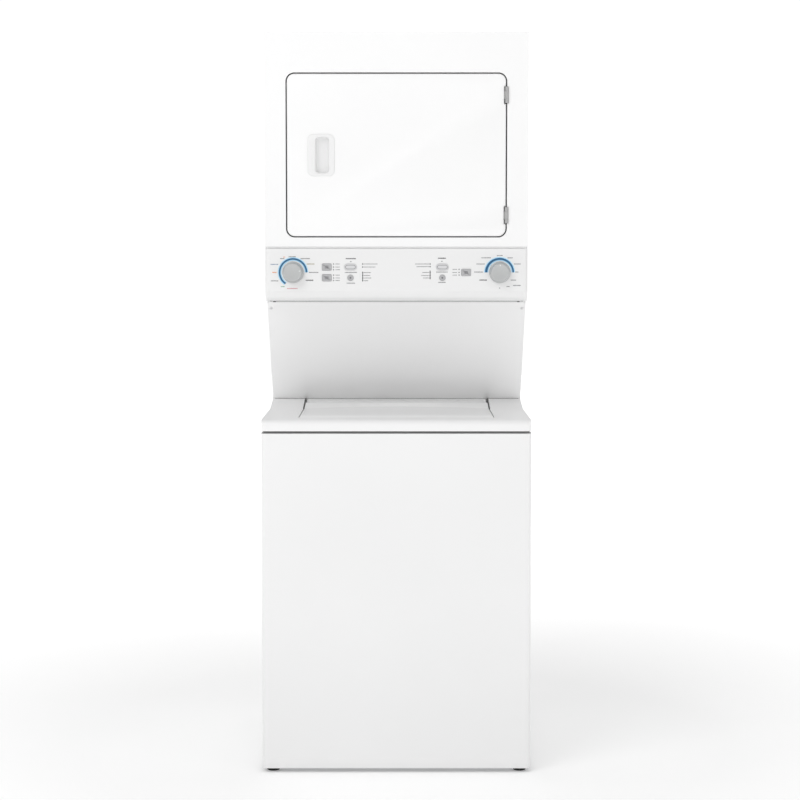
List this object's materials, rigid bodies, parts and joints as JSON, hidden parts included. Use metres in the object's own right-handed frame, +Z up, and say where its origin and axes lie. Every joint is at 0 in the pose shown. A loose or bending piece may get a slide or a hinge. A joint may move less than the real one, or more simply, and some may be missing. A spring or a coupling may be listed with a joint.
{
  "type": "stacked washer and dryer",
  "caption": "Free-standing laundry centre: top-load washer with agitator below a front-load vented dryer, with one control console between them.",
  "frame": {"origin": "centre of the footprint on the floor, under the feet", "axes": "+Z up, -Y towards the user at the front, +X to the user's right"},
  "size_m": [0.686, 0.8, 1.9],
  "materials": {
    "white_paint": "semi-gloss white enamel",
    "white_plastic": "satin white moulded plastic",
    "splash_paint": "satin white enamel",
    "galvanised": "galvanised sheet",
    "steel": "brushed",
    "knob_grey": "satin silver-grey plastic",
    "button_grey": "satin grey plastic",
    "black_rubber": "matt rubber",
    "grey_rubber": "matt grey rubber",
    "tub_plastic": "moulded polypropylene",
    "agitator_plastic": "satin white plastic",
    "motor_grey": "dark grey paint",
    "cast_alloy": "die cast",
    "board_green": "printed circuit board",
    "valve_blue": "moulded plastic",
    "filter_grey": "moulded plastic with mesh"
  },
  "bodies": {
    "cabinet": {"base_frame": "galvanised", "washer_cabinet": "white_paint", "washer_front_panel": "white_paint", "top_deck": "white_paint", "outer_tub": "tub_plastic", "tub_ring": "white_plastic", "suspension_rods": "steel", "gearcase": "cast_alloy", "washer_drive_belt": "black_rubber", "washer_motor": "motor_grey", "drain_pump": "motor_grey", "drain_hose": "grey_rubber", "water_valve": "valve_blue", "stand": "white_paint", "splash_panel": "splash_paint", "console": "white_plastic", "control_board": "board_green", "dryer_base": "galvanised", "dryer_cabinet": "white_paint", "dryer_front_panel": "white_paint", "door_gasket": "grey_rubber", "door_hinges": "steel", "front_bulkhead": "galvanised", "rear_bulkhead": "galvanised", "heater": "galvanised", "blower_housing": "galvanised", "dryer_motor": "motor_grey", "drum_belt": "black_rubber", "exhaust_duct": "galvanised", "screws": "steel"},
    "foot_front_left": {"foot_front_left": "black_rubber"},
    "foot_front_right": {"foot_front_right": "black_rubber"},
    "foot_rear_left": {"foot_rear_left": "black_rubber"},
    "foot_rear_right": {"foot_rear_right": "black_rubber"},
    "lid": {"washer_lid": "white_paint", "lid_hinge_pins": "steel"},
    "basket": {"wash_basket": "steel", "balance_ring": "white_plastic"},
    "agitator": {"agitator": "agitator_plastic"},
    "drive_pulley": {"washer_drive_pulley": "cast_alloy"},
    "motor_pulley": {"washer_motor_pulley": "steel"},
    "washer_knob": {"washer_knob": "knob_grey"},
    "dryer_knob": {"dryer_knob": "knob_grey"},
    "washer_start_button": {"washer_start_button": "button_grey"},
    "washer_cancel_button": {"washer_cancel_button": "button_grey"},
    "washer_option_button_upper": {"washer_option_button_upper": "button_grey"},
    "washer_option_button_lower": {"washer_option_button_lower": "button_grey"},
    "dryer_start_button": {"dryer_start_button": "button_grey"},
    "dryer_cancel_button": {"dryer_cancel_button": "button_grey"},
    "dryer_option_button": {"dryer_option_button": "button_grey"},
    "door": {"door_outer": "white_paint", "door_inner": "white_paint", "door_handle": "white_plastic", "hinge_leaves": "steel"},
    "drum": {"drum": "steel", "drum_baffles": "white_plastic"},
    "blower": {"blower_wheel": "motor_grey"},
    "idler_arm": {"idler_arm": "steel"},
    "idler_pulley": {"idler_pulley": "white_plastic"},
    "lint_filter": {"lint_filter": "filter_grey"}
  },
  "joints": [
    {"name": "front_left_foot_height", "type": "slide", "parent": "cabinet", "child": "foot_front_left", "axis": [0, 0, -1], "range_m": [0, 0.018]},
    {"name": "front_right_foot_height", "type": "slide", "parent": "cabinet", "child": "foot_front_right", "axis": [0, 0, -1], "range_m": [0, 0.018]},
    {"name": "rear_left_foot_height", "type": "slide", "parent": "cabinet", "child": "foot_rear_left", "axis": [0, 0, -1], "range_m": [0, 0.018]},
    {"name": "rear_right_foot_height", "type": "slide", "parent": "cabinet", "child": "foot_rear_right", "axis": [0, 0, -1], "range_m": [0, 0.018]},
    {"name": "lid_swing", "type": "hinge", "parent": "cabinet", "child": "lid", "pos_m": [0, 0.066, 0.899], "axis": [-1, 0, 0], "range_deg": [0, 52]},
    {"name": "basket_spin", "type": "hinge", "parent": "cabinet", "child": "basket", "pos_m": [0, -0.0125, 0.5], "axis": [0, 0, 1], "continuous": true},
    {"name": "agitator_turn", "type": "hinge", "parent": "cabinet", "child": "agitator", "pos_m": [0, -0.0125, 0.5], "axis": [0, 0, 1], "continuous": true},
    {"name": "drive_pulley_spin", "type": "hinge", "parent": "cabinet", "child": "drive_pulley", "pos_m": [0, -0.0125, 0.2], "axis": [0, 0, 1], "continuous": true},
    {"name": "motor_pulley_spin", "type": "hinge", "parent": "cabinet", "child": "motor_pulley", "pos_m": [0.178, -0.0125, 0.2], "axis": [0, 0, 1], "continuous": true},
    {"name": "washer_knob_turn", "type": "hinge", "parent": "cabinet", "child": "washer_knob", "pos_m": [-0.27, -0.21, 1.278], "axis": [0, 1, 0], "continuous": true},
    {"name": "dryer_knob_turn", "type": "hinge", "parent": "cabinet", "child": "dryer_knob", "pos_m": [0.27, -0.21, 1.278], "axis": [0, 1, 0], "continuous": true},
    {"name": "washer_start_press", "type": "slide", "parent": "cabinet", "child": "washer_start_button", "axis": [0, 1, 0], "range_m": [0, 0.0015], "stiffness_N_per_m": 900},
    {"name": "washer_cancel_press", "type": "slide", "parent": "cabinet", "child": "washer_cancel_button", "axis": [0, 1, 0], "range_m": [0, 0.0015], "stiffness_N_per_m": 900},
    {"name": "washer_option_upper_press", "type": "slide", "parent": "cabinet", "child": "washer_option_button_upper", "axis": [0, 1, 0], "range_m": [0, 0.0015], "stiffness_N_per_m": 900},
    {"name": "washer_option_lower_press", "type": "slide", "parent": "cabinet", "child": "washer_option_button_lower", "axis": [0, 1, 0], "range_m": [0, 0.0015], "stiffness_N_per_m": 900},
    {"name": "dryer_start_press", "type": "slide", "parent": "cabinet", "child": "dryer_start_button", "axis": [0, 1, 0], "range_m": [0, 0.0015], "stiffness_N_per_m": 900},
    {"name": "dryer_cancel_press", "type": "slide", "parent": "cabinet", "child": "dryer_cancel_button", "axis": [0, 1, 0], "range_m": [0, 0.0015], "stiffness_N_per_m": 900},
    {"name": "dryer_option_press", "type": "slide", "parent": "cabinet", "child": "dryer_option_button", "axis": [0, 1, 0], "range_m": [0, 0.0015], "stiffness_N_per_m": 900},
    {"name": "door_swing", "type": "hinge", "parent": "cabinet", "child": "door", "pos_m": [0.287, -0.2015, 1.5825], "axis": [0, 0, 1], "range_deg": [0, 170]},
    {"name": "drum_spin", "type": "hinge", "parent": "cabinet", "child": "drum", "pos_m": [0, 0.1, 1.566], "axis": [0, 1, 0], "continuous": true},
    {"name": "blower_spin", "type": "hinge", "parent": "cabinet", "child": "blower", "pos_m": [0.25227, 0.1, 1.25224], "axis": [0, 1, 0], "continuous": true},
    {"name": "idler_swing", "type": "hinge", "parent": "cabinet", "child": "idler_arm", "pos_m": [0.12201, 0.3, 1.19686], "axis": [0, 1, 0], "range_deg": [0, 12], "stiffness_Nm_per_rad": 12},
    {"name": "idler_pulley_spin", "type": "hinge", "parent": "idler_arm", "child": "idler_pulley", "pos_m": [0.18027, 0.3, 1.21806], "axis": [0, 1, 0], "continuous": true},
    {"name": "lint_filter_lift", "type": "slide", "parent": "cabinet", "child": "lint_filter", "axis": [0, 0, 1], "range_m": [0, 0.118]}
  ],
  "couplings": [
    {"joint": "drive_pulley_spin", "follows": "basket_spin", "ratio": 1},
    {"joint": "motor_pulley_spin", "follows": "basket_spin", "ratio": 3.8},
    {"joint": "blower_spin", "follows": "drum_spin", "ratio": 26.5},
    {"joint": "idler_pulley_spin", "follows": "drum_spin", "ratio": -19.875}
  ]
}
